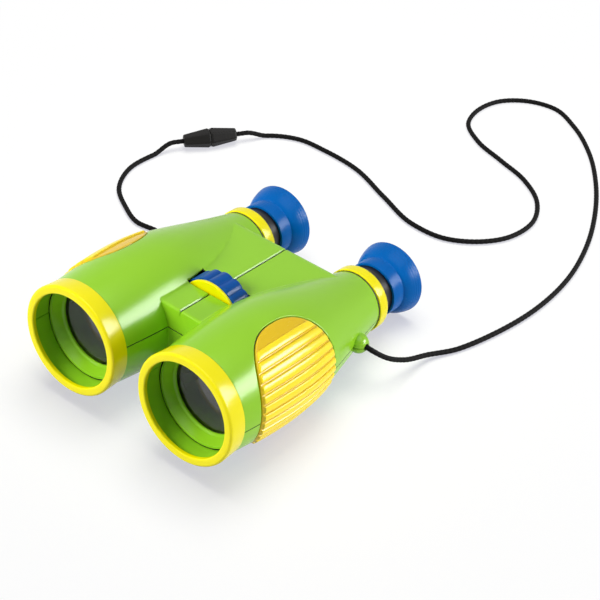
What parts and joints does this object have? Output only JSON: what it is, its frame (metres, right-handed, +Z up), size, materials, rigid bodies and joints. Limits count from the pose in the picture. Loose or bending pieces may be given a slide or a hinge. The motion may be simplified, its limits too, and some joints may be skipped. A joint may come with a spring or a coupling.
{
  "type": "toy binoculars",
  "caption": "Child's straight-through binoculars with a two-part housing, ribbed side grips, a focus wheel that slides both eyepieces and a neck cord with a breakaway clasp.",
  "frame": {"origin": "on the surface that the part lies on, under the middle of its box without the cord", "axes": "+Y from the objectives towards the eyepieces, +Z up, +X towards the wearer's left barrel"},
  "size_m": [0.2116, 0.3146, 0.056],
  "materials": {
    "housing_green": "glossy injection moulded",
    "ring_yellow": "glossy injection moulded",
    "grip_yellow": "satin, ribbed",
    "cup_blue": "satin soft plastic",
    "wheel_blue": "glossy",
    "tube_black": "smooth satin",
    "lens_clear": "clear, polished",
    "screw_steel": "zinc plated",
    "cord_black": "braided",
    "clasp_black": "satin"
  },
  "bodies": {
    "housing": {"top_shell": "housing_green", "bottom_shell": "housing_green", "shell_screws": "screw_steel", "left_objective_ring": "ring_yellow", "right_objective_ring": "ring_yellow", "left_lens_collar": "housing_green", "right_lens_collar": "housing_green", "left_objective_lens": "lens_clear", "right_objective_lens": "lens_clear", "left_grip": "grip_yellow", "right_grip": "grip_yellow", "left_rear_ring": "ring_yellow", "right_rear_ring": "ring_yellow", "left_cord_knot": "cord_black", "right_cord_knot": "cord_black", "long_cord": "cord_black", "short_cord": "cord_black", "clasp_socket": "clasp_black", "clasp_plug": "clasp_black"},
    "wheel": {"focus_wheel": "wheel_blue", "wheel_disc": "ring_yellow", "focus_screw": "tube_black"},
    "eyepieces": {"focus_yoke": "tube_black", "left_eyepiece_tube": "tube_black", "left_eyepiece_lens": "lens_clear", "left_eyecup": "cup_blue", "right_eyepiece_tube": "tube_black", "right_eyepiece_lens": "lens_clear", "right_eyecup": "cup_blue"}
  },
  "joints": [
    {"name": "wheel_turn", "type": "hinge", "parent": "housing", "child": "wheel", "pos_m": [0, -0.01117, 0.03029], "axis": [0, 0.9939, -0.1099], "range_deg": [-225.5, 180.5]},
    {"name": "eyepiece_slide", "type": "slide", "parent": "housing", "child": "eyepieces", "axis": [0, 0.9939, -0.1099], "range_m": [-0.005, 0.004]}
  ],
  "couplings": [
    {"joint": "wheel_turn", "follows": "eyepiece_slide", "rad_per_m": 785.4}
  ]
}
